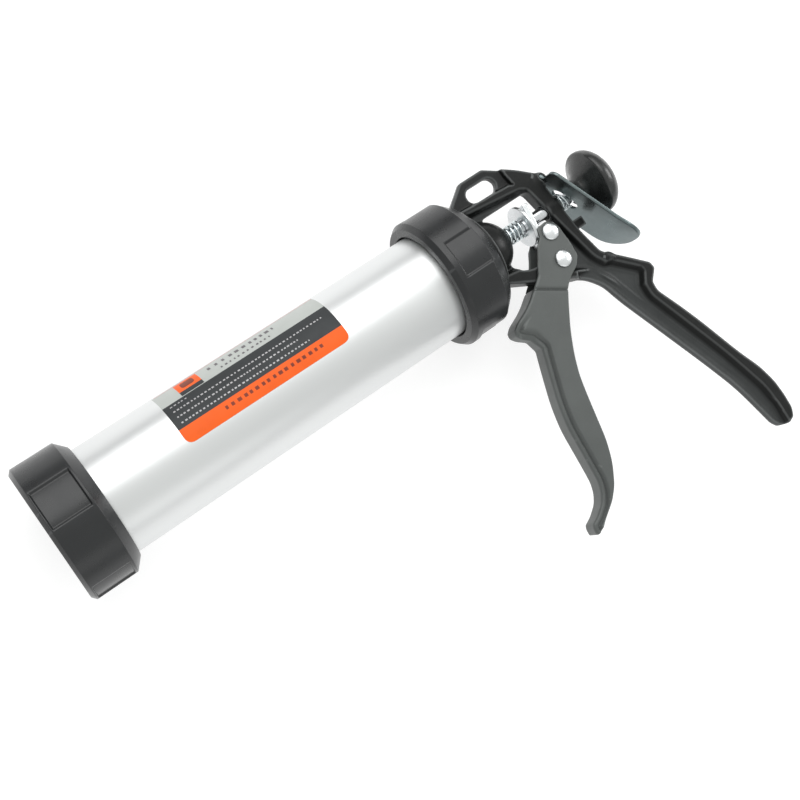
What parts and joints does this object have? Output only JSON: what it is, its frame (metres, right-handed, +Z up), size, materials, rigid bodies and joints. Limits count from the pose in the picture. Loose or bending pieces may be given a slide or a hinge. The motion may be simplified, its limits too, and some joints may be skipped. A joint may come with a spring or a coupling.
{
  "type": "caulking gun",
  "caption": "Closed-barrel caulking gun: an aluminium tube with screw caps, a cast black handle, a steel trigger, a push rod with a knob and a thumb release plate.",
  "frame": {"origin": "on the barrel axis, in the front face of the front cap, at the middle of the nozzle opening", "axes": "+X out of the muzzle along the barrel, +Y towards the handle and trigger, +Z up, which is the gun's left side: the gun lies on its right side"},
  "size_m": [0.3344, 0.192, 0.067],
  "materials": {
    "black_plastic": "satin moulded, lightly scuffed",
    "rubber_black": "matt",
    "satin_aluminium": "satin drawn tube",
    "label_print": "printed film in dark grey, orange and light bands",
    "black_casting": "semi-gloss black paint over die casting",
    "grey_paint": "satin dark grey paint on pressed steel",
    "bright_zinc": "bright zinc plate",
    "blue_zinc": "blue-grey zinc plate",
    "spring_steel": "bright zinc-plated wire",
    "bright_rod": "bright drawn steel",
    "knob_plastic": "semi-gloss moulded",
    "brass_insert": "turned",
    "white_plastic": "moulded"
  },
  "bodies": {
    "frame": {"frame": "black_casting", "pivot_rivet": "bright_zinc", "drive_spring": "spring_steel", "release_spring": "spring_steel"},
    "trigger": {"trigger": "grey_paint", "drive_pin": "bright_zinc"},
    "drive": {"drive_plate": "bright_zinc", "drive_washer": "bright_zinc"},
    "release": {"release_plate": "blue_zinc"},
    "ring": {"rear_ring": "black_plastic"},
    "barrel": {"barrel_tube": "satin_aluminium", "barrel_label": "label_print"},
    "gasket": {"front_gasket": "rubber_black"},
    "cap": {"front_cap": "black_plastic"},
    "piston": {"piston_cup": "white_plastic", "piston_seal": "rubber_black", "piston_plate": "bright_zinc"},
    "plunger": {"rod": "bright_rod", "knob": "knob_plastic", "knob_insert": "brass_insert", "piston_nut": "bright_zinc", "piston_washer": "bright_zinc"}
  },
  "joints": [
    {"name": "trigger_pivot", "type": "hinge", "parent": "frame", "child": "trigger", "pos_m": [-0.272, 0.0241, 0], "axis": [0, 0, 1], "range_deg": [0, 18], "stiffness_Nm_per_rad": 1.1, "springref_deg": -5.73},
    {"name": "drive_slide", "type": "slide", "parent": "frame", "child": "drive", "axis": [1, 0, 0], "range_m": [0, 0.0048], "deforming": ["drive_spring"]},
    {"name": "release_tilt", "type": "hinge", "parent": "frame", "child": "release", "pos_m": [-0.2878, -0.0156, 0], "axis": [0, 0, -1], "range_deg": [0, 5.5], "stiffness_Nm_per_rad": 0.25, "springref_deg": -5.73, "deforming": ["release_spring"]},
    {"name": "ring_unscrew", "type": "hinge", "parent": "frame", "child": "ring", "pos_m": [-0.228, 0, 0], "axis": [1, 0, 0], "range_deg": [0, 1800]},
    {"name": "barrel_release", "type": "slide", "parent": "frame", "child": "barrel", "axis": [1, 0, 0], "range_m": [0, 0.0225]},
    {"name": "cap_travel", "type": "slide", "parent": "barrel", "child": "gasket", "axis": [1, 0, 0], "range_m": [0, 0.0225]},
    {"name": "cap_unscrew", "type": "hinge", "parent": "gasket", "child": "cap", "pos_m": [0, 0, 0], "axis": [1, 0, 0], "range_deg": [0, 1800]},
    {"name": "rod_slide", "type": "slide", "parent": "frame", "child": "piston", "axis": [-1, 0, 0], "range_m": [0, 0.185]},
    {"name": "rod_spin", "type": "hinge", "parent": "piston", "child": "plunger", "pos_m": [-0.03, 0, 0], "axis": [1, 0, 0], "continuous": true}
  ],
  "couplings": [
    {"joint": "drive_slide", "follows": "trigger_pivot", "m_per_rad": 0.01495},
    {"joint": "barrel_release", "follows": "ring_unscrew", "m_per_rad": 0.0007162},
    {"joint": "cap_travel", "follows": "cap_unscrew", "m_per_rad": 0.0007162}
  ]
}
